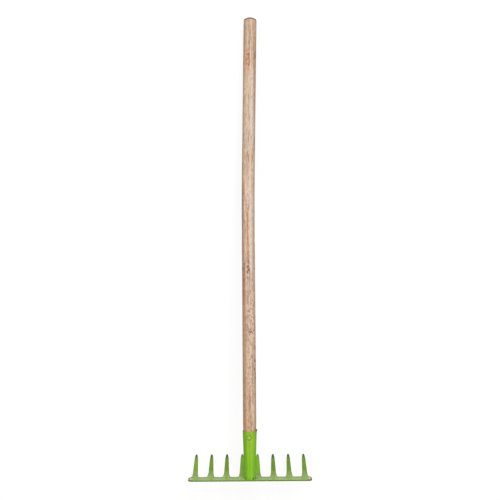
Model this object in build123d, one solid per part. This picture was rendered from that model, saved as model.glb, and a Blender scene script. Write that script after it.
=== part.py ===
from build123d import *
import math
import os

# Child-size garden rake, lying as it rests on the ground: tine tips and grip end down.
# Driving dimensions, in millimetres and degrees.

# Handle: a turned stick with a slight natural bow
overall_length = 790.0      # underside of the comb to the top of the crown, along the handle
grip_diameter = 22.0
butt_diameter = 22.9        # thickest place, just above the socket
crown_height = 4.3          # domed grip end
shoulder_length = 20.0      # from the socket mouth up to the butt diameter
tenon_depth = 60.0          # how far the handle goes into the socket
tenon_chamfer = 1.5
tenon_clearance = 0.02      # driven home by hand
bow_start = 435.0           # underside of the comb to the start of the bow
bow_length = 100.0
bow_angle = 1.07            # towards +X

# Socket: a tapered tube rolled from sheet, its seam left open on the +X side
socket_length = 82.0
socket_mouth_diameter = 24.3
socket_foot_diameter = 19.1
socket_wall = 1.0
seam_gap = 1.2
seam_rise = 1.5             # a straight-cut blank stands higher at its seam once it is rolled

# Weld bead round the foot of the socket
bead_leg = 1.4
bead_crown = 0.25           # how far the bead bulges past a flat fillet

# Comb: back strip and tines pressed from one sheet
sheet_thickness = 2.2
tine_count = 8
tine_pitch = 27.2
tine_reach = 54.0           # behind the back strip, seen along the handle
tine_bend_angle = 32.5      # out of the back strip's plane, towards the handle
tine_bend_radius = 44.0     # inside of the bend
tine_base_width = 11.4      # on the middle line of the back strip
tine_neck_width = 5.8       # where the sides draw in to the tip
tine_neck_drop = 8.0        # from the tip back to the neck
tine_tip_width = 3.4
root_fillet = 4.0
back_margin = 0.05          # strip that shows beyond the weld bead
end_overhang = 4.8          # round end of the back strip beyond the outer tine's root
end_fillet = 20.0           # between that end and the outer tine

# Screw through the socket into the tenon
screw_setback = 10.0        # below the socket mouth
screw_turn = -6.0           # about the socket's axis, from its front
screw_head_diameter = 7.0
screw_head_height = 2.6
screw_head_rim = 0.8        # straight edge below the domed top
screw_shank_diameter = 3.4
screw_length = 16.0         # under the head
screw_point_length = 4.0
screw_hole_clearance = 0.25
screw_flat_depth = 0.3      # flat pressed into the socket under the head
screw_flat_margin = 0.3

# Sizes that follow from the driving dimensions
back_depth = socket_foot_diameter + 2 * (bead_leg + back_margin)
outer_tine_x = (tine_count - 1) * tine_pitch / 2
comb_width = 2 * (outer_tine_x + tine_base_width / 2 + end_overhang)
socket_foot_y = sheet_thickness
socket_mouth_y = socket_foot_y + socket_length
grip_radius = grip_diameter / 2
cut_room = 5.0              # cutting solids reach this far past what they cut


def socket_outer_radius(y):
    """Radius of the socket's outside at a height above the underside of the comb."""
    taper = (socket_mouth_diameter - socket_foot_diameter) / 2 / socket_length
    return socket_foot_diameter / 2 + taper * (y - socket_foot_y)


def socket_inner_radius(y):
    return socket_outer_radius(y) - socket_wall


def revolved(*outline):
    """A solid of revolution about +Y from an outline of lines and arcs in the XY plane."""
    return revolve(make_face(list(outline)), Axis.Y)


def dome(radius, base_y, height):
    """Outline of a domed end, from its rim to its top on the axis."""
    sphere_radius = (radius**2 + height**2) / (2 * height)
    return RadiusArc((radius, base_y), (0, base_y + height), -sphere_radius)


# The rake is built upright along +Y, the socket's axis on the Y axis, and laid down at the end.

# Comb sheet: flat and square to the socket in front, bent up towards the handle behind.
# It is left oversize, because the outline below is punched out of it.
side_plane = Plane(origin=(0, 0, 0), x_dir=(0, 0, -1), z_dir=(1, 0, 0))
strip_side = Line(
    (-back_depth / 2 - cut_room, sheet_thickness / 2),
    (back_depth / 2, sheet_thickness / 2),
)
bend_side = JernArc(strip_side @ 1, strip_side % 1, tine_bend_radius + sheet_thickness / 2, tine_bend_angle)
tine_side = Line(bend_side @ 1, bend_side @ 1 + tine_reach * (bend_side % 1))
comb_side = trace([strip_side, bend_side, tine_side], sheet_thickness)
comb_sheet = extrude(side_plane * comb_side, comb_width / 2 + cut_room, both=True)

# One tine, seen along the handle: straight sides from the strip to the neck, then a narrow round tip
tip_radius = tine_tip_width / 2
tip_end = back_depth / 2 + tine_reach
neck_line = tip_end - tine_neck_drop
tine_base = Line((-tine_base_width / 2, 0), (tine_base_width / 2, 0))
tine_neck = Line((-tine_neck_width / 2, neck_line), (tine_neck_width / 2, neck_line))
tine_tip = Pos(0, tip_end - tip_radius) * Circle(tip_radius)
tine = make_hull([tine_base, tine_neck] + tine_tip.edges())

# Outline of the comb: a strip with round ends and the row of tines, with filleted roots
comb_outline = SlotOverall(comb_width, back_depth)
for index in range(tine_count):
    comb_outline += Pos(outer_tine_x - index * tine_pitch, 0) * tine
rear_corners = comb_outline.vertices().filter_by_position(Axis.Y, 1, back_depth / 2 + 0.01)
root_corners = [corner for corner in rear_corners if abs(corner.X) < outer_tine_x]
comb_outline = fillet(root_corners, root_fillet)
rear_corners = comb_outline.vertices().filter_by_position(Axis.Y, 1, back_depth / 2 - 0.01)
end_corners = [corner for corner in rear_corners if abs(corner.X) > outer_tine_x]
comb_outline = fillet(end_corners, end_fillet)
outline_plane = Plane(origin=(0, 0, 0), x_dir=(1, 0, 0), z_dir=(0, 1, 0))
tine_comb = comb_sheet & extrude(outline_plane * comb_outline, tine_reach, both=True)

# Socket wall, rolled to a cone, with its mouth cut to the line of the straight blank
rolled_top_y = socket_mouth_y + seam_rise + cut_room
socket = revolved(Polyline(
    (socket_inner_radius(socket_foot_y), socket_foot_y),
    (socket_outer_radius(socket_foot_y), socket_foot_y),
    (socket_outer_radius(rolled_top_y), rolled_top_y),
    (socket_inner_radius(rolled_top_y), rolled_top_y),
    close=True,
))


def mouth_line_y(x):
    """Height of the mouth across the socket: level opposite the seam, highest at the seam."""
    return socket_mouth_y + seam_rise * (x / socket_mouth_diameter + 0.5) ** 2


trim_x = socket_mouth_diameter / 2 + cut_room
trim_top_y = rolled_top_y + cut_room
trim_line = ThreePointArc(
    (-trim_x, mouth_line_y(-trim_x)),
    (0, mouth_line_y(0)),
    (trim_x, mouth_line_y(trim_x)),
)
trim_sides = Polyline(trim_line @ 1, (trim_x, trim_top_y), (-trim_x, trim_top_y), trim_line @ 0)
mouth_trim = extrude(make_face([trim_line, trim_sides]), trim_x, both=True)
seam = Pos(trim_x / 2, rolled_top_y / 2, 0) * Box(trim_x, rolled_top_y, seam_gap)
socket = socket - mouth_trim - seam

# Weld bead: a slightly crowned fillet between the socket and the strip
bead_top_y = socket_foot_y + bead_leg
bead_outer = (socket_outer_radius(socket_foot_y) + bead_leg, socket_foot_y)
bead_upper = (socket_outer_radius(bead_top_y), bead_top_y)
crown_offset = bead_crown / math.sqrt(2)
bead_middle = (
    (bead_outer[0] + bead_upper[0]) / 2 + crown_offset,
    (bead_outer[1] + bead_upper[1]) / 2 + crown_offset,
)
socket_weld = revolved(
    ThreePointArc(bead_outer, bead_middle, bead_upper),
    Polyline(bead_upper, (socket_outer_radius(socket_foot_y), socket_foot_y), bead_outer),
)

# Screw: domed head on a small flat of the socket, shank with a point in the tenon
screw_y = socket_mouth_y - screw_setback
seat_radius = socket_outer_radius(screw_y) - screw_flat_depth
screw_place = Pos(0, screw_y, 0) * Rot(Y=screw_turn) * Pos(0, 0, seat_radius)
head_radius = screw_head_diameter / 2
shank_radius = screw_shank_diameter / 2
socket_screw = screw_place * Rot(X=90) * revolved(
    Polyline(
        (0, screw_head_height),
        (0, -screw_length),
        (shank_radius, screw_point_length - screw_length),
        (shank_radius, 0),
        (head_radius, 0),
        (head_radius, screw_head_rim),
    ),
    dome(head_radius, screw_head_rim, screw_head_height - screw_head_rim),
)
screw_flat = Pos(0, 0, cut_room / 2) * Cylinder(head_radius + screw_flat_margin, cut_room)
screw_hole = Cylinder(shank_radius + screw_hole_clearance, 2 * cut_room)
socket = socket - screw_place * screw_flat - screw_place * screw_hole

# Handle below the bow: tenon, shoulder and the long taper, turned about the socket's axis
tenon_end_y = socket_mouth_y - tenon_depth
tenon_end_radius = socket_inner_radius(tenon_end_y) - tenon_clearance
tenon_mouth_radius = socket_inner_radius(socket_mouth_y) - tenon_clearance
lower_handle = revolved(Polyline(
    (0, tenon_end_y),
    (tenon_end_radius - tenon_chamfer, tenon_end_y),
    (socket_inner_radius(tenon_end_y + tenon_chamfer) - tenon_clearance, tenon_end_y + tenon_chamfer),
    (tenon_mouth_radius, socket_mouth_y),
    (butt_diameter / 2, socket_mouth_y + shoulder_length),
    (grip_radius, bow_start),
    (0, bow_start),
    close=True,
))

# The bow: a short stretch of a very large ring
bow_radius = bow_length / math.radians(bow_angle)
bow_section = Plane(origin=(0, bow_start, 0), x_dir=(1, 0, 0), z_dir=(0, 1, 0)) * Circle(grip_radius)
bow = revolve(bow_section, Axis((bow_radius, bow_start, 0), (0, 0, -1)), bow_angle)
bow_end = Pos(bow_radius, bow_start, 0) * Rot(Z=-bow_angle) * Pos(-bow_radius, 0, 0)

# Straight grip with its domed crown
grip_length = overall_length - crown_height - bow_start - bow_length
grip = bow_end * revolved(
    Polyline((0, grip_length + crown_height), (0, 0), (grip_radius, 0), (grip_radius, grip_length)),
    dome(grip_radius, grip_length, crown_height),
)
handle = lower_handle + bow + grip - socket_screw

# Lay the rake down until the tine tips and the rim of the crown touch the ground
bend_angle = math.radians(tine_bend_angle)
bend_rise = tine_bend_radius * (1 - math.cos(bend_angle))
bend_reach = tine_bend_radius * math.sin(bend_angle)
tip_y = sheet_thickness + bend_rise + (tine_reach - bend_reach) * math.tan(bend_angle)
tip_z = -tip_end
crown_rim = bow_end * Pos(0, grip_length, -grip_radius)
lie_angle = math.degrees(math.atan2(crown_rim.position.Z - tip_z, crown_rim.position.Y - tip_y))
parts = {
    "handle": handle,
    "socket": socket,
    "tine_comb": tine_comb,
    "socket_weld": socket_weld,
    "socket_screw": socket_screw,
}
laid = Rot(X=-lie_angle) * Compound(list(parts.values()))

# Origin on the ground, under the middle of the rake
box = laid.bounding_box()
middle = box.center()
lie = Pos(-middle.X, -middle.Y, -box.min.Z) * Rot(X=-lie_angle)

os.makedirs("parts", exist_ok=True)
for name, shape in parts.items():
    export_step(lie * shape, f"parts/{name}.step")
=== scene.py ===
import math

import bmesh
import bpy
from mathutils import Matrix, Vector


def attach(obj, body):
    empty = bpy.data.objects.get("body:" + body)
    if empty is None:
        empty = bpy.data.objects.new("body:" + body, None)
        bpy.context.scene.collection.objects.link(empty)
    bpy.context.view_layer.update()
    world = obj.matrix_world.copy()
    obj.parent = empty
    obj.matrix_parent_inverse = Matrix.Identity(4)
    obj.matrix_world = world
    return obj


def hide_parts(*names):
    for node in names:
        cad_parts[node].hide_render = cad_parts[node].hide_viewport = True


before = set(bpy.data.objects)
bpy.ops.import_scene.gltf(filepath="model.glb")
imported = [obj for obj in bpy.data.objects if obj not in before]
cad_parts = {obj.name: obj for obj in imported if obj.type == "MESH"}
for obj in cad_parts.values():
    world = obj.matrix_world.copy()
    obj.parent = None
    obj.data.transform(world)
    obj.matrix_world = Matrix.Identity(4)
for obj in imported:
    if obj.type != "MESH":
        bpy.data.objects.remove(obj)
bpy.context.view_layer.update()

scene = bpy.context.scene


# Tine comb: one pressing of steel sheet under gloss lime-green paint. A flat strip with rounded ends carries
# eight tapered tines, which bend up behind it towards the handle.
# Sizes are in millimetres, with the rake upright along +Y and the socket's axis on the Y axis.
sheet_thickness = 2.2
sheet_edge_radius = 0.4
sheet_edge_band = 1.3
tine_count = 8
tine_pitch = 27.2
tine_reach = 54.0
tine_bend_angle = math.radians(32.5)
tine_bend_radius = 44.0
tine_base_width = 11.4
tine_neck_width = 5.8
tine_neck_drop = 8.0
tine_tip_width = 3.4
root_fillet = 3.0
root_flare = 1.4
root_flare_length = 16.0
root_flare_blend = 60.0
back_depth = 22.0
end_overhang = 4.8
end_corner_radius = 6.5
end_fillet = 20.0

# The whole rake lies on its tine tips and grip end, so every piece is turned and then moved, in metres
millimetre = 0.001
lie_angle = math.radians(4.07906)
socket_foot = Vector((0.0, -0.393547, 0.066858))
laid = Matrix.Translation(socket_foot) @ Matrix.Rotation(-lie_angle, 4, "X")


def add_piece(name, shape, material):
    """Turn a shape in millimetres into an object where the rake lies, with even shading."""
    mesh = bpy.data.meshes.new(name)
    bmesh.ops.recalc_face_normals(shape, faces=shape.faces[:])
    shape.to_mesh(mesh)
    shape.free()
    mesh.transform(Matrix.Scale(millimetre, 4))
    mesh.shade_smooth()
    mesh.materials.append(material)
    piece = bpy.data.objects.new(name, mesh)
    scene.collection.objects.link(piece)
    piece.matrix_world = laid
    normals = piece.modifiers.new("even_shading", "WEIGHTED_NORMAL")
    normals.keep_sharp = True
    return piece


def rounded_outline(corners, steps=8):
    """Points round a closed outline, given anticlockwise as corners with a radius each."""
    points = []
    for index, (across, along, radius) in enumerate(corners):
        here = Vector((across, along))
        if radius == 0:
            points.append(here)
            continue
        back = (Vector(corners[index - 1][:2]) - here).normalized()
        ahead = (Vector(corners[(index + 1) % len(corners)][:2]) - here).normalized()
        half_angle = math.acos(max(-1.0, min(1.0, back.dot(ahead)))) / 2
        middle = here + (back + ahead).normalized() * (radius / math.sin(half_angle))
        start = here + back * (radius / math.tan(half_angle)) - middle
        stop = here + ahead * (radius / math.tan(half_angle)) - middle
        first = math.atan2(start.y, start.x)
        turn = math.atan2(stop.y, stop.x) - first
        turn = (turn + math.pi) % (2 * math.pi) - math.pi
        for step in range(steps + 1):
            angle = first + turn * step / steps
            points.append(middle + radius * Vector((math.cos(angle), math.sin(angle))))
    return points


def arc_corners(centre, radius, first, last, steps):
    """Points along an arc, as sharp corners of an outline."""
    corners = []
    for step in range(steps + 1):
        angle = first + (last - first) * step / steps
        corners.append((centre.x + radius * math.cos(angle), centre.y + radius * math.sin(angle), 0))
    return corners


def join_rings(shape, rings):
    """Faces from each ring of points to the next."""
    for below, above in zip(rings, rings[1:]):
        for index in range(len(below)):
            following = (index + 1) % len(below)
            shape.faces.new((below[index], below[following], above[following], above[index]))


def sheet_blank(outline, thickness, edge_radius, edge_band, cuts_across, cuts_along, edge_steps=4):
    """A flat sheet cut to an outline, with rounded edges and lines across it where it will bend."""
    blank = bmesh.new()
    rim = blank.verts.layers.float.new("rim")
    outward = []
    for index in range(len(outline)):
        tangent = outline[(index + 1) % len(outline)] - outline[index - 1]
        outward.append(Vector((tangent.y, -tangent.x)).normalized())
    lower = [(edge_band, 0.0)]
    for step in range(edge_steps + 1):
        turn = math.pi / 2 * step / edge_steps
        lower.append((edge_radius * (1 - math.sin(turn)), edge_radius * (1 - math.cos(turn))))
    upper = [(inset, thickness - level) for inset, level in reversed(lower)]
    loops = []
    for inset, level in lower + upper:
        loop = []
        for point, normal in zip(outline, outward):
            spot = point - normal * inset
            corner = blank.verts.new((spot.x, spot.y, level))
            corner[rim] = 1 - inset / edge_band
            loop.append(corner)
        loops.append(loop)
    join_rings(blank, loops)
    blank.faces.new(loops[0])
    blank.faces.new(loops[-1])
    for direction, places in (((1, 0, 0), cuts_across), ((0, 1, 0), cuts_along)):
        for distance in places:
            everything = blank.verts[:] + blank.edges[:] + blank.faces[:]
            bmesh.ops.bisect_plane(
                blank, geom=everything, dist=0.001,
                plane_co=Vector(direction) * distance, plane_no=direction,
            )
    many_sided = [face for face in blank.faces if len(face.verts) > 4]
    bmesh.ops.triangulate(blank, faces=many_sided)
    return blank


# One tine, seen along the handle: straight flanks up to the neck, then a narrow round tip
half_depth = back_depth / 2
tip_line = half_depth + tine_reach
neck_line = tip_line - tine_neck_drop
base_half = tine_base_width / 2
neck_half = tine_neck_width / 2
tip_radius = tine_tip_width / 2
flank_angle = math.atan2(base_half - neck_half, neck_line)
root_half = base_half - half_depth * math.tan(flank_angle)
tip_rise = tine_neck_drop - tip_radius
tip_angle = math.atan2(neck_half, tip_rise) - math.asin(tip_radius / math.hypot(neck_half, tip_rise))
tip_half = neck_half - tine_neck_drop * math.tan(tip_angle)
flare_line = half_depth + root_flare_length
flare_half = base_half - flare_line * math.tan(flank_angle)

# Right end of the strip, with a round corner in front and behind, and the fillet from it to the outer tine
outer_tine = (tine_count - 1) * tine_pitch / 2
strip_half = outer_tine + base_half + end_overhang
end_centre = Vector((strip_half - end_corner_radius, half_depth - end_corner_radius))
front_centre = Vector((end_centre.x, -end_centre.y))
flank_out = Vector((math.cos(flank_angle), math.sin(flank_angle)))
flank_up = Vector((-math.sin(flank_angle), math.cos(flank_angle)))
fillet_out = (outer_tine + base_half) * math.cos(flank_angle) + end_fillet
fillet_gap = fillet_out - end_centre.dot(flank_out)
fillet_up = end_centre.dot(flank_up) + math.sqrt((end_corner_radius + end_fillet) ** 2 - fillet_gap**2)
fillet_centre = flank_out * fillet_out + flank_up * fillet_up
towards_fillet = fillet_centre - end_centre
join_angle = math.atan2(towards_fillet.y, towards_fillet.x)
front_arc_steps = 12
end_arc_steps = 8
fillet_arc_steps = 10
fillet_start = join_angle + math.pi
fillet_stop = flank_angle + math.pi
strip_end = arc_corners(front_centre, end_corner_radius, -math.pi / 2, 0.0, front_arc_steps)
strip_end += arc_corners(end_centre, end_corner_radius, 0.0, join_angle, end_arc_steps)
strip_end += arc_corners(fillet_centre, end_fillet, fillet_start, fillet_stop, fillet_arc_steps)[1:]

# The whole outline: right end, the tines from right to left, and the left end
comb_corners = list(strip_end)
for index in range(tine_count):
    middle = outer_tine - index * tine_pitch
    if index > 0:
        comb_corners.append((middle + root_half + root_flare, half_depth, root_fillet))
        comb_corners.append((middle + flare_half, flare_line, root_flare_blend))
    comb_corners.append((middle + neck_half, neck_line, 0))
    comb_corners.append((middle + tip_half, tip_line, tip_radius))
    comb_corners.append((middle - tip_half, tip_line, tip_radius))
    comb_corners.append((middle - neck_half, neck_line, 0))
    if index < tine_count - 1:
        comb_corners.append((middle - flare_half, flare_line, root_flare_blend))
        comb_corners.append((middle - root_half - root_flare, half_depth, root_fillet))
comb_corners += [(-across, along, radius) for across, along, radius in reversed(strip_end)]
bend_reach = tine_bend_radius * math.sin(tine_bend_angle)
strip_steps = 3
bend_steps = 10
tine_steps = 5
tine_step_length = 5.0
strip_cuts = [half_depth * step / strip_steps for step in range(1 - strip_steps, strip_steps + 1)]
bend_cuts = [half_depth + bend_reach * step / bend_steps for step in range(1, bend_steps + 1)]
tine_cuts = [half_depth + bend_reach + tine_step_length * step for step in range(1, tine_steps + 1)]
column_cuts = [outer_tine - tine_pitch * step / 2 for step in range(2 * tine_count - 1)]
comb_shape = sheet_blank(
    rounded_outline(comb_corners), sheet_thickness, sheet_edge_radius, sheet_edge_band,
    column_cuts, strip_cuts + bend_cuts + tine_cuts,
)

# Bend the tines up, and note how far each point is towards a tip, where the paint is scuffed and darker
tip_layer = comb_shape.verts.layers.float.new("tip")
bend_height = sheet_thickness + tine_bend_radius
for corner in comb_shape.verts:
    across, along, level = corner.co
    behind = along - half_depth
    corner[tip_layer] = max(0.0, behind / tine_reach)
    height = level
    if behind > 0:
        radius = bend_height - level
        bent = min(behind, radius * math.sin(tine_bend_angle))
        height = bend_height - math.sqrt(radius**2 - bent**2) + (behind - bent) * math.tan(tine_bend_angle)
    corner.co = (across, height, -along)


def paint_colour(red, green, blue):
    """A colour given as it looks on screen, 0 to 255, in the renderer's linear values."""
    linear = []
    for value in (red, green, blue):
        share = value / 255
        linear.append(share / 12.92 if share <= 0.04045 else ((share + 0.055) / 1.055) ** 2.4)
    return (*linear, 1.0)


def place(tree, kind, inputs=None, **settings):
    """Add a node, with its settings and with a value or a link for each named input."""
    made = tree.nodes.new(kind)
    for name, value in settings.items():
        setattr(made, name, value)
    for name, value in (inputs or {}).items():
        if isinstance(value, bpy.types.NodeSocket):
            tree.links.new(value, made.inputs[name])
        else:
            made.inputs[name].default_value = value
    return made


def maths(operation, first, second=0.0, third=0.0, clamp=False):
    """One sum on values and sockets, in the tree of those sockets, and the socket that holds its result."""
    terms = (first, second, third)
    tree = next(term for term in terms if isinstance(term, bpy.types.NodeSocket)).id_data
    made = place(tree, "ShaderNodeMath", dict(enumerate(terms)), operation=operation, use_clamp=clamp)
    return made.outputs[0]


def scaled(value, factor, offset, clamp=False):
    """A value times a factor, plus an offset."""
    return maths("MULTIPLY_ADD", value, factor, offset, clamp)


def product(*shares):
    """Shares multiplied together, so that a place needs all of them."""
    result = shares[0]
    for share in shares[1:]:
        result = maths("MULTIPLY", result, share)
    return result


def slant(first, second):
    """Straight distance over two distances that are square to each other."""
    return maths("SQRT", scaled(second, second, maths("MULTIPLY", first, first)))


def blend(share, first, second):
    """Mix two colours by a share."""
    mixed = {0: share, 6: first, 7: second}
    return place(share.id_data, "ShaderNodeMix", mixed, data_type="RGBA").outputs[2]


def stored(tree, name):
    """A value that the mesh holds at its points, and 0 where the mesh has none of that name."""
    return place(tree, "ShaderNodeAttribute", attribute_name=name).outputs["Fac"]


def rise(value, low, high):
    """0 at one value, 1 at another, and smooth between them."""
    span = {"Value": value, "From Min": low, "From Max": high}
    made = place(value.id_data, "ShaderNodeMapRange", span, interpolation_type="SMOOTHSTEP")
    return made.outputs["Result"]


def new_material(name):
    """An empty material with its output and shader, ready for the nodes of one finish."""
    made = bpy.data.materials.new(name)
    made.use_nodes = True
    tree = made.node_tree
    tree.nodes.clear()
    output = tree.nodes.new("ShaderNodeOutputMaterial")
    shader = tree.nodes.new("ShaderNodeBsdfPrincipled")
    tree.links.new(shader.outputs["BSDF"], output.inputs["Surface"])
    return made, tree, shader


def dress(shader, tone, dullness, height, bump_strength, bump_depth):
    """Give a shader its colour, its dullness and its bumps."""
    tree = shader.id_data
    relief = {"Height": height, "Strength": bump_strength, "Distance": bump_depth}
    bump = place(tree, "ShaderNodeBump", relief)
    finish = {"Base Color": tone, "Roughness": dullness, "Normal": bump.outputs["Normal"]}
    for name, socket in finish.items():
        tree.links.new(socket, shader.inputs[name])


def millimetres(tree):
    """Place on the piece in millimetres, along the piece's own axes."""
    where = tree.nodes.new("ShaderNodeTexCoord").outputs["Object"]
    made = place(tree, "ShaderNodeVectorMath", {0: where, "Scale": 1 / millimetre}, operation="SCALE")
    return made.outputs["Vector"]


def axes(where):
    """The three parts of a place, one for each axis."""
    return place(where.id_data, "ShaderNodeSeparateXYZ", {0: where}).outputs


def noise(where, per_millimetre, detail=2.0, roughness=0.5):
    """Noise with its own fineness along each axis."""
    tree = where.id_data
    stretched = place(tree, "ShaderNodeVectorMath", {0: where, 1: per_millimetre}, operation="MULTIPLY")
    made = place(
        tree, "ShaderNodeTexNoise",
        {"Vector": stretched.outputs["Vector"], "Scale": 1.0, "Detail": detail, "Roughness": roughness},
    )
    return made.outputs["Fac"]


# Handling marks: soft smudges, which dull every finish on the rake, and fine dust, which shows on the paint
smudges = bpy.data.node_groups.new("handling_marks", "ShaderNodeTree")
smudges.interface.new_socket("Where", in_out="INPUT", socket_type="NodeSocketVector")
smudges.interface.new_socket("Smudge", in_out="OUTPUT", socket_type="NodeSocketFloat")
smudges.interface.new_socket("Dust", in_out="OUTPUT", socket_type="NodeSocketFloat")
smudge_inlet = smudges.nodes.new("NodeGroupInput")
smudge_outlet = smudges.nodes.new("NodeGroupOutput")
smudge_where = smudge_inlet.outputs["Where"]
smudge_cloud = noise(smudge_where, (0.06, 0.03, 0.06), 4.0, 0.6)
smudges.links.new(rise(smudge_cloud, 0.4, 0.7), smudge_outlet.inputs["Smudge"])
dust_spots = noise(smudge_where, (1.1, 1.1, 1.1), 1.0)
smudges.links.new(rise(dust_spots, 0.7, 0.78), smudge_outlet.inputs["Dust"])

# Gloss paint: uneven in thickness, thin along the cut edges and painted dark there as edge shade, and
# painted dark as shade in corners and nicks. The tines are scuffed and painted darker as shade, all
# but the two in the middle, which are painted lighter where the socket shades them. The tips are darker.
lime = paint_colour(148, 196, 50)
lime_thick = paint_colour(138, 188, 42)
lime_run_and_side_shade = paint_colour(126, 176, 26)
lime_thin_and_highlight = paint_colour(160, 204, 60)
lime_foot = paint_colour(118, 190, 34)
lime_lit_left_middle = paint_colour(154, 216, 64)
lime_lit_right_middle = paint_colour(132, 194, 38)
lime_edge_wear_and_shade = paint_colour(60, 82, 26)
tine_scuff_and_shade = paint_colour(114, 153, 46)
tine_scuff_and_shade_pale = paint_colour(134, 166, 54)
tip_dark_tone = paint_colour(56, 68, 36)
shade_and_chip_dark = paint_colour(34, 34, 20)
fine_dust = paint_colour(200, 205, 180)
middle_tines = (28.0, 16.0)     # millimetres from the middle of the comb
left_tine = (-60.0, -100.0)
scuff_and_shade_part = (0.08, 0.4)      # shares of a tine, from its root to its tip
middle_lit_part = (0.05, 0.3)
tip_dark_part = (0.79, 0.98)
comb_middle = (-4.0, 4.0)
green_paint, paint, paint_shader = new_material("lime_green_gloss_paint")
paint_where = millimetres(paint)
paint_across, paint_height, paint_depth = axes(paint_where)
paint_aside = maths("ABSOLUTE", paint_across)
paint_marks = place(paint, "ShaderNodeGroup", {"Where": paint_where}, node_tree=smudges)
paint_run_and_shading = stored(paint, "run")
paint_foot = stored(paint, "foot")
tip_place = stored(paint, "tip")
rim_place = stored(paint, "rim")
shade_and_chip_place = stored(paint, "shade_and_chip")
paint_cloud = noise(paint_where, (0.09, 0.06, 0.09), 3.0)
paint_grit = noise(paint_where, (0.5, 0.5, 0.5), 4.0, 0.7)
paint_tone = blend(rise(paint_cloud, 0.35, 0.65), lime, lime_thick)
# Painted light: the two middle tines, in the socket's shadow, are painted lighter, the left one most.
middle_lit_share = product(rise(paint_aside, *middle_tines), 0.95)
# Painted shade: the tines are painted darker from near their roots out, as well as scuffed.
scuff_and_shade_share = product(rise(tip_place, *scuff_and_shade_part), scaled(paint_grit, 0.6, 0.6, clamp=True))
scuff_and_shade_share = product(scuff_and_shade_share, maths("SUBTRACT", 1.0, middle_lit_share))
scuff_and_shade_tone = blend(rise(paint_across, *left_tine), tine_scuff_and_shade, tine_scuff_and_shade_pale)
middle_lit_face = product(middle_lit_share, rise(tip_place, *middle_lit_part))
middle_lit_tone = blend(rise(paint_across, *comb_middle), lime_lit_left_middle, lime_lit_right_middle)
# The tines are painted darker towards their tips.
tip_ragged = maths("ADD", tip_place, scaled(paint_grit, 0.2, -0.1))
tip_dark_share = product(rise(tip_ragged, *tip_dark_part), 0.85, scaled(middle_lit_share, -0.45, 1.0))
# Painted shade: the cut edges are painted dark as edge shade as well as worn.
rim_wear_and_shade = product(rise(rim_place, 0.0, 1.0), scaled(paint_grit, 0.6, 0.5, clamp=True))
for share, colour in (
    (rise(paint_run_and_shading, 0.0, 1.0), lime_run_and_side_shade),
    (rise(paint_run_and_shading, 0.0, -1.0), lime_thin_and_highlight),
    (paint_foot, lime_foot),
    (scuff_and_shade_share, scuff_and_shade_tone),
    (middle_lit_face, middle_lit_tone),
    (tip_dark_share, tip_dark_tone),
    (rim_wear_and_shade, lime_edge_wear_and_shade),
):
    paint_tone = blend(share, paint_tone, colour)

# Dust has dried on top of the strip, laid paler also as a painted sheen, and soil and painted shade line the
# roots between the tines.
# Heights count from the underside of the strip, and depths from its middle, negative towards the tines.
dust_and_sheen = paint_colour(192, 218, 134)
root_soil_and_shade = paint_colour(62, 80, 42)
dust_and_sheen_start = (1.6, 2.0)
dust_and_sheen_end = (9.0, 2.6)
root_aside = (4.5, 7.0)
root_depth = (-3.0, -9.0)
root_height = (3.4, 2.4)
shade_depth = (-14.0, -19.0)
shade_height = (6.2, 4.2)
# Painted sheen: the strip is laid paler with dust, which also stands for light on its top.
dust_and_sheen_share = product(
    rise(paint_height, *dust_and_sheen_start),
    rise(paint_height, *dust_and_sheen_end),
    scaled(paint_foot, -2.0, 1.0, clamp=True),
    scaled(paint_grit, 0.3, 0.3),
)
paint_tone = blend(dust_and_sheen_share, paint_tone, dust_and_sheen)
tine_share = maths("FRACT", maths("DIVIDE", paint_across, tine_pitch))
from_tine = maths("ABSOLUTE", scaled(tine_share, tine_pitch, -tine_pitch / 2))
# Painted shade: the roots between the tines are darkened as shade as well as with soil.
root_shade_line = product(
    rise(from_tine, *root_aside),
    rise(paint_depth, *root_depth),
    rise(paint_height, *root_height),
    scaled(paint_grit, 0.4, 0.55),
)
root_shade = product(rise(paint_depth, *shade_depth), rise(paint_height, *shade_height))
root_shade = product(root_shade, scaled(paint_grit, 0.2, 0.12))
paint_tone = blend(maths("MAXIMUM", root_shade_line, root_shade), paint_tone, root_soil_and_shade)

# On top of each end of the strip the paint is rubbed pale, also as a painted highlight, inside a dark worn
# rim that is also painted edge shade
end_rubbed_and_highlight = paint_colour(212, 228, 178)
end_top_height = (1.0, 1.8)
end_rim_reach = (4.8, 5.8)
end_rim_aside = (96.0, 99.0)
end_rim_depth = (-12.5, -11.0)
end_rub_highlight_reach = (5.2, 4.4)
end_rub_highlight_aside = (99.6, 101.0)
past_middle = maths("MAXIMUM", maths("SUBTRACT", paint_aside, end_centre.x), 0.0)
off_middle = maths("SUBTRACT", maths("ABSOLUTE", paint_depth), end_centre.y)
off_middle = maths("MAXIMUM", off_middle, 0.0)
rub_edge = noise(paint_where, (0.35, 0.35, 0.35), 3.0, 0.6)
end_reach = scaled(rub_edge, 2.5, slant(past_middle, off_middle))
on_top = rise(paint_height, *end_top_height)
end_rim_wear_and_shade = product(
    rise(end_reach, *end_rim_reach),
    rise(paint_aside, *end_rim_aside),
    rise(paint_depth, *end_rim_depth),
    on_top,
    0.55,
)
end_rub_and_highlight = product(rise(end_reach, *end_rub_highlight_reach), rise(paint_aside, *end_rub_highlight_aside), on_top)
for share, colour in (
    (end_rim_wear_and_shade, lime_edge_wear_and_shade),
    (end_rub_and_highlight, end_rubbed_and_highlight),
    (product(shade_and_chip_place, 0.9), shade_and_chip_dark),
    (product(paint_marks.outputs["Dust"], 0.12), fine_dust),
):
    paint_tone = blend(share, paint_tone, colour)
paint_dull = scaled(paint_marks.outputs["Smudge"], 0.08, 0.28)
paint_dull = scaled(tip_dark_share, 0.35, paint_dull)
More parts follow.
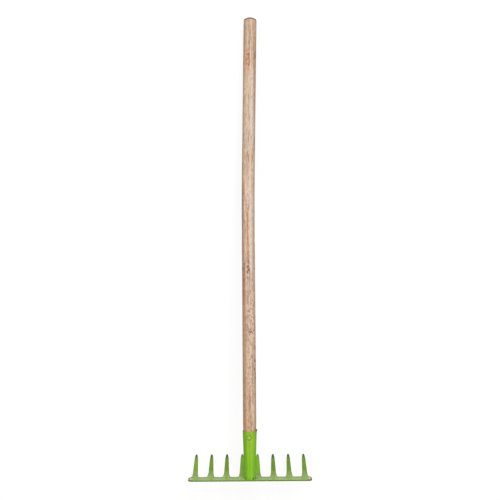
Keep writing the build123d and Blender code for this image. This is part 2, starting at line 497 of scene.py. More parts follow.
paint_dull = scaled(maths("MAXIMUM", shade_and_chip_place, rim_place), 0.35, paint_dull)
orange_peel = noise(paint_where, (0.7, 0.7, 0.7), 2.0)
paint_skin = scaled(paint_grit, 0.25, orange_peel)
paint_shader.inputs["IOR"].default_value = 1.2
dress(paint_shader, paint_tone, paint_dull, paint_skin, 0.05, 0.0004)

tine_comb = add_piece("comb_pressing", comb_shape, green_paint)
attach(tine_comb, "root")
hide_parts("tine_comb")


# Socket: a tapered tube rolled from thin steel sheet, painted with the comb. Its seam stays open on the
# right, and one corner of the seam has sprung up at the mouth, lost its paint and is painted dark as the
# shade of the gap. The screw has dimpled it, and a painted shadow rings its head.
socket_length = 82.0
socket_mouth_radius = 12.15
socket_foot_radius = 9.55
socket_wall = 1.0
socket_edge_radius = 0.35
seam_gap = 1.2
seam_rise = 1.5
seam_rise_power = 6         # how close to the seam the mouth starts to rise
mouth_steps = 48
sprung_reach = 9.0
sprung_out = 0.9
sprung_up = 1.3
screw_drop = 10.0
screw_angle = math.radians(90.0 - 6.0)
dimple_depth = 0.5
dimple_radius = 4.5
screw_shadow_radius = 4.1
screw_shadow_width = 0.8
screw_shadow_share = 0.24
screw_shadow_below = 0.16     # added below the screw and to its right
shade_across = 0.45
shade_down = 0.9
chip_shade_reach = 6.0
chip_shade_sharpness = 3.0
streak_count = 10
socket_side_shade = 0.85
side_angle = 1.5            # radians from the front
side_half = 0.95
side_fade = 0.4
foot_green = 0.5
foot_green_top = 55.0
foot_green_fade = 30.0
nick_shade_height = 4.5
nick_shade_share = 2.0
nick_shade_most = 0.75
bead_drops = 9
bead_turn = 0.095
drop_power = 1.1
nick_depth = 0.42
nick_change = 0.3
nick_wave = 4.2
mouth_wear_and_shade = 0.45
fine_cut = 0.8              # between the lines in the sheet round the screw
fine_cuts = 9
tube_cut = 8.0              # between the other lines across it
tube_cuts = 7
half_cuts = 36              # lines along each half of it
foot_cuts = [2.0, 3.3, nick_shade_height]
socket_taper = (socket_mouth_radius - socket_foot_radius) / socket_length
blank_half = math.pi * (socket_mouth_radius + socket_foot_radius) / 2


def socket_radius(height):
    """Outside radius of the socket at a height above its foot."""
    return socket_foot_radius + socket_taper * height


def drop_nick(angle):
    """How deep the weld bead dips at an angle from the front: a nick between each two drops, some deeper."""
    drop = abs(math.sin(bead_drops / 2 * (angle + bead_turn)))
    return (nick_depth - nick_change * math.cos(nick_wave * angle)) * (1 - drop**drop_power)


def paint_streak(angle, height):
    """How thick the paint has run at a place on the socket: uneven streaks that fade in and out."""
    # Painted highlight: a thin pale streak falls just right of the front.
    wave = streak_count * angle + 0.8 * math.sin(3 * angle) + 0.4 * math.sin(height / 30)
    return math.cos(wave) * (0.55 + 0.3 * math.cos(2 * angle + height / 25))


def limited(value):
    """A value held between 0 and 1."""
    return min(1.0, max(0.0, value))


# The blank before rolling; its top edge is the line that the mouth follows once it is round
mouth_line = []
for step in range(mouth_steps + 1):
    share = 1 - 2 * step / mouth_steps
    around = (0.5 - 0.5 * math.cos(math.pi * share)) ** seam_rise_power
    mouth_line.append(Vector((blank_half * share, socket_length + seam_rise * around)))
socket_outline = [Vector((-blank_half, 0)), Vector((blank_half, 0))] + mouth_line
screw_height = socket_length - screw_drop
screw_across = blank_half * screw_angle / math.pi
screw_cuts = [fine_cut * step for step in range(-fine_cuts, fine_cuts + 1)]
around_cuts = [blank_half * (step / half_cuts - 1) for step in range(1, 2 * half_cuts)]
around_cuts += [screw_across + distance for distance in screw_cuts]
height_cuts = foot_cuts + [tube_cut * step for step in range(1, tube_cuts + 1)]
height_cuts += [screw_height + distance for distance in screw_cuts]
socket_shape = sheet_blank(
    socket_outline, socket_wall, socket_edge_radius, sheet_edge_band, around_cuts, height_cuts
)
socket_shade_and_chip = socket_shape.verts.layers.float.new("shade_and_chip")
socket_rim = socket_shape.verts.layers.float["rim"]
socket_run_and_shading = socket_shape.verts.layers.float.new("run")
socket_foot_green = socket_shape.verts.layers.float.new("foot")
for corner in socket_shape.verts:
    corner[socket_rim] *= mouth_wear_and_shade
    across, height, level = corner.co
    radius = socket_radius(height) - socket_wall + level
    closing = math.pi - seam_gap / 2 / socket_radius(height)
    angle = closing * across / blank_half
    above_screw = height - screw_height
    from_screw = math.hypot((angle - screw_angle) * radius, above_screw)
    radius -= dimple_depth * math.exp(-((from_screw / dimple_radius) ** 2))
    from_corner = math.hypot(blank_half - across, socket_length + seam_rise - height)
    spring = max(0.0, 1 - from_corner / sprung_reach) ** 2
    radius += sprung_out * spring
    right_of_screw = (angle - screw_angle) * radius
    below_right = (shade_across * right_of_screw - shade_down * above_screw) / max(from_screw, 0.1)
    # Painted shadow: a dark ring round the screw head, strongest below it and to its right.
    screw_shadow_ring = math.exp(-(((from_screw - screw_shadow_radius) / screw_shadow_width) ** 2))
    screw_shadow_ring *= screw_shadow_share + screw_shadow_below * below_right
    from_front = angle - math.pi / 2
    to_side = limited((side_half - abs(abs(from_front) - side_angle)) / side_fade)
    # Painted shade in the weld's nicks, low on the socket.
    nick_shade = min(nick_shade_most, nick_shade_share * drop_nick(from_front)) * max(0.0, 1 - (height / nick_shade_height) ** 2)
    # Painted shade: the sprung corner is chipped and painted dark as the shade of the gap.
    chip_and_shade = limited(chip_shade_sharpness * (1 - from_corner / chip_shade_reach))
    streak = paint_streak(from_front, height)
    # Painted shade and highlight: the paint is laid darker along both sides, and the thin pale streak just
    # right of the front is a painted highlight.
    corner[socket_run_and_shading] = streak + (socket_side_shade - streak) * to_side
    # Painted shade and chip: the screw's shadow ring, the nicks' shade and the chipped corner share one dark.
    corner[socket_shade_and_chip] = max(screw_shadow_ring, nick_shade, chip_and_shade)
    corner[socket_foot_green] = foot_green * limited((foot_green_top - height) / foot_green_fade)
    corner.co = (
        -radius * math.cos(angle),
        sheet_thickness + height + sprung_up * spring,
        radius * math.sin(angle),
    )
socket_tube = add_piece("socket_tube", socket_shape, green_paint)
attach(socket_tube, "root")
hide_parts("socket")


# Weld bead: laid by hand round the foot of the socket to hold it on the back strip, and painted over.
# It is a row of overlapping drops, so it has lumps and small pits between them, painted dark as shade.
bead_leg = 1.4
bead_root = 0.4
bead_around = 240
bead_section = 10
bead_fullness = 1.14
bead_unevenness = 0.06
bead_lean = 0.06
bead_hollow = 0.18
bead_sink = 0.05
bead_nick_shade_share = 2.4


def drop_swell(angle):
    """How full the bead is at an angle from the front."""
    return bead_fullness - drop_nick(angle) + bead_unevenness * math.sin(5 * angle + 1.0)


bead_shape = bmesh.new()
bead_nick_shade = bead_shape.verts.layers.float.new("shade_and_chip")
bead_foot_green = bead_shape.verts.layers.float.new("foot")
bead_rings = []
for step in range(bead_around):
    angle = 2 * math.pi * step / bead_around - math.pi
    ring = []
    for part in range(bead_section + 1):
        turn = math.pi / 2 * part / bead_section
        leg = bead_leg * drop_swell(angle + bead_lean * math.sin(2 * turn))
        bulge = 1 - bead_hollow * math.sin(2 * turn)
        radius = socket_radius(leg * math.sin(turn)) + leg * bulge * math.cos(turn) - bead_sink
        height = sheet_thickness + leg * bulge * math.sin(turn) - bead_sink
        ring.append((radius, height))
    ring.append((socket_foot_radius - bead_root, sheet_thickness + bead_leg / 2))
    ring.append((socket_foot_radius - bead_root, sheet_thickness - bead_root))
    ring.append((socket_foot_radius + bead_leg / 2, sheet_thickness - bead_root))
    corners = []
    for radius, height in ring:
        corner = bead_shape.verts.new((radius * math.sin(angle), height, radius * math.cos(angle)))
        # Painted shade in the pits between the drops.
        corner[bead_nick_shade] = min(nick_shade_most, bead_nick_shade_share * drop_nick(angle))
        corner[bead_foot_green] = foot_green
        corners.append(corner)
    bead_rings.append(corners)
join_rings(bead_shape, bead_rings + bead_rings[:1])
weld_bead = add_piece("weld_bead", bead_shape, green_paint)
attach(weld_bead, "root")
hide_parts("socket_weld")


# Handle: one turned stick of pale ring-porous wood under thin lacquer, a little bowed as it dried.
# Its lower end is a tapered tenon, driven into the socket; its grip end is domed.
overall_length = 790.0
grip_radius = 11.0
butt_radius = 11.45
crown_height = 4.3
crown_edge = 1.0
crown_edge_drop = 0.35      # shares of the edge
crown_edge_inset = 0.06
crown_dome_inset = 0.4
crown_steps = 12
shoulder_length = 20.0
tenon_depth = 60.0
tenon_clearance = 0.02
tenon_chamfer = 1.5
bow_start = 435.0
bow_length = 100.0
bow_angle = math.radians(1.07)
handle_sides = 64
ring_spacing = 7.0
turning_unevenness = 0.004
turning_wave = 61.0
turning_twist = 240.0
mouth_height = sheet_thickness + socket_length
shoulder_end = mouth_height + shoulder_length
tenon_end = mouth_height - tenon_depth
tenon_mouth_radius = socket_mouth_radius - socket_wall - tenon_clearance
crown_start = overall_length - crown_height
crown_radius = (grip_radius**2 + crown_height**2) / (2 * crown_height)
bow_radius = bow_length / bow_angle


def handle_radius(length):
    """Radius of the stick at a length from the underside of the comb."""
    if length <= mouth_height:
        return tenon_mouth_radius - socket_taper * (mouth_height - length)
    if length <= shoulder_end:
        share = (length - mouth_height) / shoulder_length
        share = share * share * (3 - 2 * share)
        return tenon_mouth_radius + (butt_radius - tenon_mouth_radius) * share
    if length <= bow_start:
        share = (length - shoulder_end) / (bow_start - shoulder_end)
        return butt_radius + (grip_radius - butt_radius) * share
    return grip_radius


def handle_place(length, radius, angle):
    """A point at an angle round the stick, which turns aside along its bow."""
    bent = min(max(length - bow_start, 0.0), bow_length) / bow_radius
    straight = max(length - bow_start - bow_length, 0.0)
    sideways = radius * math.sin(angle)
    middle_x = bow_radius * (1 - math.cos(bent)) + straight * math.sin(bent)
    middle_y = min(length, bow_start) + bow_radius * math.sin(bent) + straight * math.cos(bent)
    return Vector((
        middle_x + sideways * math.cos(bent),
        middle_y - sideways * math.sin(bent),
        radius * math.cos(angle),
    ))


stick_profile = [(tenon_end, handle_radius(tenon_end) - tenon_chamfer)]
station = tenon_end + tenon_chamfer
while station < crown_start - crown_edge:
    stick_profile.append((station, handle_radius(station)))
    station += ring_spacing
stick_profile.append((crown_start - crown_edge, grip_radius))
edge_length = crown_start - crown_edge_drop * crown_edge
stick_profile.append((edge_length, grip_radius - crown_edge_inset * crown_edge))
dome_angle = math.asin((grip_radius - crown_dome_inset * crown_edge) / crown_radius)
for step in range(crown_steps):
    turn = dome_angle * (1 - step / crown_steps)
    dome_length = overall_length - crown_radius * (1 - math.cos(turn))
    stick_profile.append((dome_length, crown_radius * math.sin(turn)))
handle_shape = bmesh.new()
stick_grain = handle_shape.verts.layers.float_vector.new("grain")
stick_rings = []
for length, radius in stick_profile:
    uneven = turning_unevenness * math.sin(length / turning_wave + 0.8)
    ring = []
    for side in range(handle_sides):
        angle = 2 * math.pi * side / handle_sides
        turned = 1 + uneven * math.cos(2 * angle + length / turning_twist)
        corner = handle_shape.verts.new(handle_place(length, radius * turned, angle))
        corner[stick_grain] = (radius * math.sin(angle), length, radius * math.cos(angle))
        ring.append(corner)
    stick_rings.append(ring)
join_rings(handle_shape, stick_rings)
crown_top = handle_shape.verts.new(handle_place(overall_length, 0.0, 0.0))
crown_top[stick_grain] = (0.0, overall_length, 0.0)
for side in range(handle_sides):
    handle_shape.faces.new((stick_rings[-1][side], stick_rings[-1][(side + 1) % handle_sides], crown_top))
handle_shape.faces.new(stick_rings[0])

# Wood: ring-porous, so fine lines run along it. Its tone goes from amber at the socket over honey and tan to
# blond, and back to honey at the grip. A growth layer lies almost along the front and shows as a tongue
# between two pale bands.
wood_amber = paint_colour(203, 158, 98)
wood_honey = paint_colour(212, 174, 136)
wood_tan = paint_colour(213, 178, 150)
wood_blond = paint_colour(221, 193, 168)
wood_dark_line = paint_colour(160, 124, 94)
wood_fair_line = paint_colour(230, 207, 186)
wood_pale = paint_colour(234, 217, 202)
wood_orange = paint_colour(222, 172, 136)
wood_rosy = paint_colour(222, 154, 110)
wood_rust = paint_colour(182, 132, 100)
wood_tongue = paint_colour(214, 164, 132)
wood_olive = paint_colour(158, 136, 94)
wood_cream = paint_colour(226, 201, 170)
wood_grey = paint_colour(150, 124, 106)
wood_brown_speck = paint_colour(150, 110, 80)
wood_fleck = paint_colour(122, 78, 52)
wood_edge_fleck = paint_colour(84, 60, 42)
wood_side_shade = paint_colour(150, 118, 92)
wood_end_grain_and_shade = paint_colour(72, 51, 33)
wood_end_fair = paint_colour(164, 122, 84)
stick_wood, wood, wood_shader = new_material("lacquered_ring_porous_wood")
wood_where = place(wood, "ShaderNodeAttribute", attribute_name="grain").outputs["Vector"]
wood_marks = place(wood, "ShaderNodeGroup", {"Where": wood_where}, node_tree=smudges)
wood_across, wood_along, wood_depth = axes(wood_where)
wood_stops = (
    (82.0, wood_amber),
    (130.0, wood_honey),
    (330.0, wood_tan),
    (570.0, wood_blond),
    (640.0, wood_blond),
    (720.0, wood_honey),
)
wood_ramp = place(wood, "ShaderNodeValToRGB", {"Fac": maths("DIVIDE", wood_along, overall_length)})
wood_elements = wood_ramp.color_ramp.elements
while len(wood_elements) < len(wood_stops):
    wood_elements.new(0.5)
for element, (length, colour) in zip(wood_elements, wood_stops):
    element.position = length / overall_length
    element.color = colour
wood_tone = wood_ramp.outputs["Color"]


def tint_wood(tone, share, strength, colour):
    """Lay a colour over the wood by a share, at a strength."""
    return blend(product(share, strength), tone, colour)


def wood_patch(across, along, reach_across, reach_along):
    """1 at one place on the stick, and fading to 0 over its reach."""
    sideways = maths("DIVIDE", maths("SUBTRACT", wood_across, across), reach_across)
    lengthwise = maths("DIVIDE", maths("SUBTRACT", wood_along, along), reach_along)
    far = scaled(lengthwise, lengthwise, product(sideways, sideways))
    return rise(far, 1.0, 0.05)


# The grain leans across the stick where the tongue starts, and wanders everywhere
lean_start = 600.0
lean_length = 170.0
lean_across = 8.5
wander_across = 5.0
grain_lean = maths("DIVIDE", maths("SUBTRACT", lean_start, wood_along), lean_length, clamp=True)
grain_wander = noise(wood_where, (0.02, 0.014, 0.02), 2.0)
grain_shift = scaled(grain_wander, wander_across, product(grain_lean, lean_across))
grain_across = maths("ADD", wood_across, grain_shift)
grain_where = place(
    wood, "ShaderNodeCombineXYZ", {"X": grain_across, "Y": wood_along, "Z": wood_depth}
).outputs["Vector"]

# Growth layers seen on the sides and back, with a line of pores at the start of each
layer_width = 4.2
layer_waviness = 2.4
layer_lean = -0.1
layer_wander = noise(wood_where, (0.2, 0.012, 0.1), 3.0, 0.6)
layer_depth = scaled(layer_wander, layer_waviness, wood_depth)
layer_depth = scaled(wood_across, layer_lean, layer_depth)
layer_share = maths("FRACT", maths("DIVIDE", layer_depth, layer_width))
layer_start = rise(layer_share, 0.3, 0.02)
wood_tone = tint_wood(wood_tone, layer_start, 0.22, wood_orange)
wood_tone = tint_wood(wood_tone, rise(layer_share, 0.55, 0.9), 0.25, wood_fair_line)

# Painted shade: both sides of the stick are darker than its front and back
dark_side = (7.8, 4.6)
side_depth = maths("ABSOLUTE", wood_depth)
wood_tone = tint_wood(wood_tone, rise(side_depth, *dark_side), 0.5, wood_side_shade)


def grain_lines(tone, fineness, dark_strength, fair_strength):
    """Lay dark and fair lines along the grain, with their fineness along each axis."""
    streaks = noise(grain_where, fineness, 1.0)
    tone = tint_wood(tone, rise(streaks, 0.52, 0.68), dark_strength, wood_dark_line)
    return tint_wood(tone, rise(streaks, 0.48, 0.32), fair_strength, wood_fair_line)


# Broad and fine lines along the stick
wood_tone = grain_lines(wood_tone, (0.14, 0.005, 0.14), 0.2, 0.2)
wood_tone = grain_lines(wood_tone, (0.34, 0.013, 0.34), 0.6, 0.5)
wood_tone = grain_lines(wood_tone, (0.6, 0.025, 0.6), 0.6, 0.5)


def wood_stripe(tone, top, foot, half_width, strength, colour):
    """Lay a soft stripe along the stick, between two places (across, along), the first nearer the grip."""
    share = maths("DIVIDE", maths("SUBTRACT", wood_along, foot[1]), top[1] - foot[1])
    middle = scaled(share, top[0] - foot[0], foot[0])
    off = maths("ABSOLUTE", maths("SUBTRACT", stripe_across, middle))
    inside = rise(off, 1.25 * half_width, 0.25 * half_width)
    stripe = product(inside, rise(share, 0.0, 0.25), rise(share, 1.0, 0.75))
    return tint_wood(tone, stripe, strength, colour)


# The tongue with its pale bands, and the other stripes that stand out, from the grip to the socket
stripe_wobble = noise(wood_where, (0.15, 0.05, 0.15), 2.0)
stripe_across = maths("ADD", wood_across, scaled(stripe_wobble, 3.0, -1.5))
for top, foot, half_width, strength, colour in (
    ((-5.2, 800.0), (-5.2, 672.0), 2.6, 0.45, wood_fair_line),
    ((-0.6, 786.0), (-0.2, 684.0), 1.4, 0.7, wood_dark_line),
    ((4.0, 722.0), (4.6, 556.0), 2.6, 0.6, wood_pale),
    ((8.4, 700.0), (8.7, 612.0), 1.0, 0.55, wood_grey),
    ((0.8, 600.0), (-2.0, 560.0), 1.4, 0.55, wood_olive),
    ((-6.8, 614.0), (-6.2, 550.0), 2.4, 0.6, wood_fair_line),
    ((-0.3, 562.0), (0.5, 498.0), 3.0, 0.75, wood_tongue),
    ((-1.5, 566.0), (0.4, 538.0), 1.0, 0.9, wood_dark_line),
    ((-8.4, 540.0), (0.8, 410.0), 2.4, 0.8, wood_orange),
    ((3.2, 566.0), (4.2, 306.0), 2.1, 0.85, wood_pale),
    ((6.9, 566.0), (6.9, 330.0), 2.0, 0.4, wood_fair_line),
    ((-7.0, 552.0), (-6.6, 512.0), 1.5, 0.6, wood_cream),
    ((-7.6, 526.0), (-2.4, 478.0), 1.4, 0.8, wood_pale),
    ((-7.4, 474.0), (-3.0, 434.0), 1.4, 0.8, wood_pale),
    ((-0.8, 440.0), (-0.6, 356.0), 2.8, 0.6, wood_orange),
    ((-1.8, 474.0), (-0.2, 344.0), 1.6, 0.85, wood_rust),
    ((-9.2, 520.0), (-8.8, 340.0), 1.6, 0.6, wood_grey),
    ((-1.3, 338.0), (-1.3, 294.0), 0.9, 0.6, wood_olive),
    ((6.0, 350.0), (5.8, 246.0), 2.6, 0.45, wood_fair_line),
    ((-8.0, 372.0), (-7.4, 220.0), 2.6, 0.6, wood_rust),
    ((-4.0, 250.0), (-3.0, 70.0), 2.4, 0.6, wood_orange),
    ((-0.6, 256.0), (-0.4, 176.0), 1.8, 0.5, wood_tongue),
    ((-4.0, 262.0), (-4.2, 124.0), 1.3, 0.35, wood_fair_line),
    ((-2.8, 124.0), (-1.6, 58.0), 2.2, 0.5, wood_rosy),
    ((-0.4, 166.0), (3.2, 68.0), 1.2, 0.75, wood_dark_line),
    ((6.2, 134.0), (6.6, 82.0), 1.9, 0.7, wood_cream),
    ((-8.0, 180.0), (-7.4, 46.0), 2.4, 0.6, wood_dark_line),
):
    wood_tone = wood_stripe(wood_tone, top, foot, half_width, strength, colour)
wood_tone = grain_lines(wood_tone, (0.5, 0.16, 0.5), 0.42, 0.34)


def dash_cells(per_millimetre):
    """Dashes along the grain: how far a point is inside one, and a number that differs from dash to dash."""
    stretched = place(wood, "ShaderNodeVectorMath", {0: grain_where, 1: per_millimetre}, operation="MULTIPLY")
    cells = place(wood, "ShaderNodeTexVoronoi", {"Vector": stretched.outputs["Vector"], "Scale": 1.0})
    kind = place(wood, "ShaderNodeSeparateColor", {0: cells.outputs["Color"]}).outputs[0]
    return rise(cells.outputs["Distance"], 0.7, 0.3), kind


# Flecks: short dashes, dark in some places and fair in others
speck_top = (350.0, 310.0)
speck_foot = (90.0, 170.0)
speck_across = (-12.0, 5.0)
front_side = rise(wood_depth, -3.0, 3.0)
speck_core, speck_kind = dash_cells((0.5, 0.24, 0.5))
speck_core = product(speck_core, front_side)
speck_zone = product(
    speck_core,
    rise(wood_along, *speck_top),
    rise(wood_along, *speck_foot),
    rise(wood_across, *speck_across),
)
dark_specks = product(speck_zone, rise(speck_kind, 0.5, 0.3))
fair_specks = product(speck_zone, rise(speck_kind, 0.6, 0.8))
knot_specks = product(speck_core, rise(speck_kind, 0.75, 0.55), wood_patch(4.0, 254.0, 6.5, 11.0))
fleck_core, fleck_kind = dash_cells((0.4, 0.18, 0.4))
fleck_core = product(fleck_core, rise(fleck_kind, 0.75, 0.6), front_side)
fleck_zone = wood_patch(-3.2, 717.0, 4.8, 22.0)
for across, along, reach_across, reach_along in (
    (8.8, 716.0, 2.6, 20.0),
    (-0.8, 360.0, 3.8, 26.0),
    (-9.0, 366.0, 2.4, 20.0),
):
    fleck_zone = maths("MAXIMUM", fleck_zone, wood_patch(across, along, reach_across, reach_along))
fleck_mask = product(fleck_core, fleck_zone)
edge_flecks = product(fleck_core, wood_patch(9.8, 205.0, 2.6, 50.0))
for share, strength, colour in (
    (dark_specks, 0.6, wood_brown_speck),
    (fair_specks, 0.6, wood_fair_line),
    (knot_specks, 0.9, wood_fleck),
    (wood_patch(-3.0, 716.0, 6.0, 26.0), 0.4, wood_rosy),
    (fleck_mask, 0.9, wood_fleck),
    (wood_patch(0.2, 350.0, 1.8, 3.6), 0.9, wood_cream),
    (edge_flecks, 0.95, wood_edge_fleck),
):
    wood_tone = tint_wood(wood_tone, share, strength, colour)

# Fibres and pores, too fine to see from far, and the end grain of the crown, dark and painted darker as
# shade where the dome turns away, rubbed paler in the middle
end_shade_start = crown_start - 0.9
end_shade_full = crown_start + 0.3
rubbed_reach = (10.2, 6.0)
fibre = noise(grain_where, (3.0, 0.05, 3.0), 3.0, 0.6)
wood_tone = tint_wood(wood_tone, rise(fibre, 0.52, 0.72), 0.25, wood_dark_line)
pores = noise(grain_where, (1.5, 0.12, 1.5), 2.0, 0.7)
pore_mask = product(rise(pores, 0.56, 0.66), layer_start)
wood_tone = tint_wood(wood_tone, pore_mask, 0.5, wood_fleck)
crown_lean = product(wood_across, wood_across, 0.012)
end_grain_and_shade = rise(maths("ADD", wood_along, crown_lean), end_shade_start, end_shade_full)
wood_tone = tint_wood(wood_tone, end_grain_and_shade, 0.95, wood_end_grain_and_shade)
end_noise = noise(wood_where, (0.5, 0.5, 0.5), 3.0, 0.6)
end_ragged = scaled(end_noise, 4.0, slant(wood_depth, wood_across))
end_middle = product(
    rise(end_ragged, *rubbed_reach),
    rise(wood_along, crown_start, crown_start + 1.0),
    scaled(layer_start, -0.35, 0.9),
)
wood_tone = tint_wood(wood_tone, end_middle, 0.9, wood_end_fair)
wood_dull = scaled(wood_marks.outputs["Smudge"], 0.12, 0.5)
wood_dull = scaled(pore_mask, 0.2, wood_dull)
wood_shader.inputs["IOR"].default_value = 1.33
wood_height = scaled(maths("MAXIMUM", pore_mask, fleck_mask), -0.8, fibre)
dress(wood_shader, wood_tone, wood_dull, wood_height, 0.25, 0.0003)

handle_stick = add_piece("handle_stick", handle_shape, stick_wood)
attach(handle_stick, "root")
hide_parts("handle")


# Screw: zinc-plated wood screw with a domed cross-recess head, turned through the front of the socket
# into the tenon, so that the handle can't pull out. Its thread is hidden in the wood.
screw_head_radius = 3.5
screw_head_height = 2.6
screw_head_rim = 0.8
screw_head_bevel = 0.25
screw_rim_drop = 0.2
screw_dome_steps = 12
screw_shank_radius = 1.7
screw_core_radius = 1.25
screw_length = 16.0
screw_point = 4.0
screw_tip = 0.1
screw_flat_depth = 0.3
shank_steps = 80
thread_pitch = 1.6
thread_crest = 0.22
thread_top = -0.5
screw_sides = 48
recess_width = 0.9
recess_reach = 2.5
recess_foot = 0.9
recess_depth = 1.7
recess_clear = 0.5          # of the cutter above the head
screw_seat = socket_radius(screw_height) - screw_flat_depth

# Outline from the point up the shank and over the domed head, as (radius, height) above the seat
dome_rise = screw_head_height - screw_head_rim
dome_sphere = (screw_head_radius**2 + dome_rise**2) / (2 * dome_rise)
screw_profile = [(screw_tip, -screw_length)]
for step in range(1, shank_steps + 1):
    depth = screw_length * (1 - step / shank_steps)
    taper = min(1.0, (screw_length - depth + screw_tip) / screw_point)
    screw_profile.append((screw_shank_radius * taper, -depth))
screw_profile += [
    (screw_head_radius - screw_head_bevel, 0.0),
    (screw_head_radius, screw_head_bevel),
    (screw_head_radius, screw_head_rim - screw_rim_drop),
]
for step in range(1, screw_dome_steps + 1):
    turn = math.asin(screw_head_radius / dome_sphere) * (1 - step / (screw_dome_steps + 0.5))
    drop = dome_sphere * (1 - math.cos(turn))
    screw_profile.append((dome_sphere * math.sin(turn), screw_head_height - drop))
screw_shape = bmesh.new()
screw_rings = []
for radius, height in screw_profile:
    ring = []
    for side in range(screw_sides):
        angle = 2 * math.pi * side / screw_sides
        wide = radius
        if height < thread_top:
            climb = (height / thread_pitch - side / screw_sides) % 1.0
            crest = max(0.0, 1 - abs(climb - 0.5) / thread_crest)
            threaded = screw_core_radius + (screw_shank_radius - screw_core_radius) * crest
            wide = radius * threaded / screw_shank_radius
        ring.append(screw_shape.verts.new((wide * math.cos(angle), wide * math.sin(angle), height)))
    screw_rings.append(ring)
join_rings(screw_shape, screw_rings)
screw_shape.faces.new(screw_rings[0])
screw_shape.faces.new(screw_rings[-1])

# The cross recess: four tapered slots that meet in the middle of the head, deepest there
recess_shape = bmesh.new()
half_slot = recess_width / 2
recess_rings = []
recess_bottom = screw_head_height - recess_depth
recess_top = screw_head_height + recess_clear
for height, reach in ((recess_bottom, recess_foot), (recess_top, recess_reach)):
    ring = []
    for quarter in range(4):
        turn = Matrix.Rotation(quarter * math.pi / 2, 3, "Z")
        for along, across in ((half_slot, -half_slot), (reach, -half_slot), (reach, half_slot)):
            ring.append(recess_shape.verts.new(turn @ Vector((along, across, height))))
    recess_rings.append(ring)
recess_shape.faces.new(recess_rings[0])
recess_shape.faces.new(recess_rings[1])
join_rings(recess_shape, recess_rings)

# Zinc plate with a fine grain. The head was painted with the socket; two of its lobes are painted pale as a
# highlight, and its skirt darker as shade. Heights count from the seat of the head.
zinc_bright = paint_colour(228, 229, 214)
zinc_dull = paint_colour(196, 198, 184)
head_paint = paint_colour(158, 202, 76)
head_highlight = paint_colour(216, 250, 160)
head_skirt_shade = paint_colour(92, 122, 40)
lobe_aside = 1.3
lobe_half = 1.1
head_seat = (-0.4, 0.0)
head_skirt_shade_height = (0.8, 1.9)
head_highlight_height = (1.2, 1.8)
recess_turn = math.radians(48.0)
zinc_plate, zinc, zinc_shader = new_material("bright_zinc_plate")
zinc_where = millimetres(zinc)
zinc_marks = place(zinc, "ShaderNodeGroup", {"Where": zinc_where}, node_tree=smudges)
zinc_cloud = noise(zinc_where, (0.6, 0.6, 0.6), 3.0)
zinc_tone = blend(rise(zinc_cloud, 0.35, 0.65), zinc_bright, zinc_dull)
head_turned = place(
    zinc, "ShaderNodeVectorRotate", {"Vector": zinc_where, "Angle": recess_turn}, rotation_type="Z_AXIS"
)
head_across, head_along, head_height = axes(head_turned.outputs["Vector"])
on_head = rise(head_height, *head_seat)
# Painted shade: the head's skirt is darker.
head_tone = blend(rise(head_height, *head_skirt_shade_height), head_skirt_shade, head_paint)
# Painted highlight: two pale lobes on the head.
lobe_off = maths("SUBTRACT", maths("ABSOLUTE", head_across), lobe_aside)
lobe_reach = slant(lobe_off, head_along)
lobe_highlight = rise(lobe_reach, 1.3 * lobe_half, 0.5 * lobe_half)
lobe_highlight = product(lobe_highlight, rise(head_height, *head_highlight_height))
head_tone = blend(lobe_highlight, head_tone, head_highlight)
zinc_tone = blend(on_head, zinc_tone, head_tone)
zinc.links.new(maths("SUBTRACT", 1.0, on_head), zinc_shader.inputs["Metallic"])
zinc_rough = scaled(zinc_cloud, 0.16, 0.24)
zinc_rough = scaled(zinc_marks.outputs["Smudge"], 0.1, zinc_rough)
plate_grain = noise(zinc_where, (6.0, 6.0, 6.0), 2.0)
dress(zinc_shader, zinc_tone, zinc_rough, plate_grain, 0.15, 0.0002)

socket_screw = add_piece("cross_head_screw", screw_shape, zinc_plate)
recess_cutter = add_piece("cross_recess", recess_shape, zinc_plate)
screw_place = (
    laid
    @ Matrix.Translation((0.0, (sheet_thickness + screw_height) * millimetre, 0.0))
    @ Matrix.Rotation(screw_angle - math.pi / 2, 4, "Y")
    @ Matrix.Translation((0.0, 0.0, screw_seat * millimetre))
    @ Matrix.Rotation(recess_turn, 4, "Z")
)
socket_screw.matrix_world = screw_place
recess_cutter.matrix_world = screw_place
recess_cut = socket_screw.modifiers.new("cross_recess", "BOOLEAN")
recess_cut.object = recess_cutter
recess_cut.operation = "DIFFERENCE"
bpy.context.view_layer.update()
recessed = bpy.data.meshes.new_from_object(socket_screw.evaluated_get(bpy.context.evaluated_depsgraph_get()))
socket_screw.modifiers.clear()
socket_screw.data = recessed
bpy.data.objects.remove(recess_cutter)
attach(socket_screw, "root")
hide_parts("socket_screw")


# Studio: a white floor that keeps a faint shadow, a pale sky all round, a large soft key light high beyond
# the grip, and a weaker one on each side.
def background_rays(tree):
    """1 for the rays that show the background: from the camera, and by reflection or through glass."""
    path = tree.nodes.new("ShaderNodeLightPath")
    seen = maths("MAXIMUM", path.outputs["Is Camera Ray"], path.outputs["Is Glossy Ray"])
    return maths("MAXIMUM", seen, path.outputs["Is Transmission Ray"])


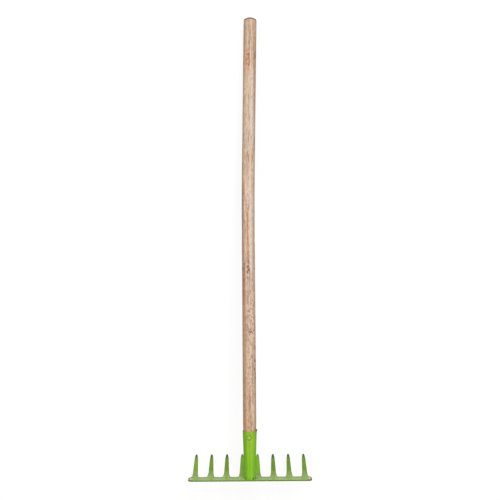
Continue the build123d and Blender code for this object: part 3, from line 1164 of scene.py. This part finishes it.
white = (1.0, 1.0, 1.0, 1.0)
floor_grey = (0.3, 0.3, 0.3, 1.0)
floor_shadow_grey = (0.18, 0.18, 0.18, 1.0)
floor_brightness = 0.85
sky_light = 0.35            # as a lamp; where it is seen, it is white
floor_half = 6.0
floor_mesh = bpy.data.meshes.new("studio_floor")
floor_corners = []
for across, along in ((-1, -1), (1, -1), (1, 1), (-1, 1)):
    floor_corners.append((across * floor_half, along * floor_half, 0.0))
floor_mesh.from_pydata(floor_corners, [], [(0, 1, 2, 3)])
studio_floor = bpy.data.objects.new("studio_floor", floor_mesh)
scene.collection.objects.link(studio_floor)
floor_white = bpy.data.materials.new("white_studio_floor")
floor_white.use_nodes = True
floor_tree = floor_white.node_tree
floor_tree.nodes.clear()
floor_paper = place(floor_tree, "ShaderNodeBsdfDiffuse", {"Color": floor_grey})
floor_shade = place(floor_tree, "ShaderNodeBsdfDiffuse", {"Color": floor_shadow_grey})
floor_glow = place(floor_tree, "ShaderNodeEmission", {"Color": white, "Strength": floor_brightness})
floor_seen = place(
    floor_tree, "ShaderNodeAddShader", {0: floor_shade.outputs["BSDF"], 1: floor_glow.outputs["Emission"]}
)
floor_mix = place(floor_tree, "ShaderNodeMixShader", {
    "Fac": background_rays(floor_tree),
    1: floor_paper.outputs["BSDF"],
    2: floor_seen.outputs["Shader"],
})
place(floor_tree, "ShaderNodeOutputMaterial", {"Surface": floor_mix.outputs["Shader"]})
floor_mesh.materials.append(floor_white)

sky = bpy.data.worlds.new("pale_sky")
scene.world = sky
sky.use_nodes = True
sky_tree = sky.node_tree
sky_tree.nodes.clear()
sky_strength = scaled(background_rays(sky_tree), 1 - sky_light, sky_light)
sky_glow = place(sky_tree, "ShaderNodeBackground", {"Color": white, "Strength": sky_strength})
place(sky_tree, "ShaderNodeOutputWorld", {"Surface": sky_glow.outputs["Background"]})


def soft_light(name, position, aim, size, watts):
    """A square soft light that faces a point."""
    lamp = bpy.data.lights.new(name, "AREA")
    lamp.shape = "SQUARE"
    lamp.size = size
    lamp.energy = watts
    holder = bpy.data.objects.new(name, lamp)
    scene.collection.objects.link(holder)
    holder.location = position
    holder.rotation_mode = "QUATERNION"
    holder.rotation_quaternion = (Vector(aim) - Vector(position)).to_track_quat("-Z", "Y")


soft_light("key_light", (1.4, 3.9, 5.1), (0.0, 0.0, 0.0), 3.2, 222.0)
soft_light("left_light", (-2.2, 1.5, 2.9), (0.0, 0.0, 0.0), 2.0, 34.0)
soft_light("right_light", (1.2, -0.95, 1.85), (0.0, -0.2, 0.0), 0.9, 9.5)
scene.view_settings.view_transform = "Standard"


# Camera: square on to the front of the socket, above the middle of the rake, and turned very slightly.
# Its distance was fitted to where the strip, the tines and the grip end fall in the photograph.
camera_distance = 1450.0
camera_across = 2.7
camera_along = 392.8
camera_roll = math.radians(0.41)
lens_pixels = 848.0
photo_pixels = 500.0
sensor_width = 36.0
camera_data = bpy.data.cameras.new("photo_camera")
camera_data.sensor_width = sensor_width
camera_data.lens = lens_pixels / photo_pixels * sensor_width
camera_data.clip_end = 50.0
camera = bpy.data.objects.new("photo_camera", camera_data)
scene.collection.objects.link(camera)
camera.matrix_world = (
    laid
    @ Matrix.Translation(Vector((camera_across, camera_along, camera_distance)) * millimetre)
    @ Matrix.Rotation(-camera_roll, 4, "Z")
)
scene.camera = camera
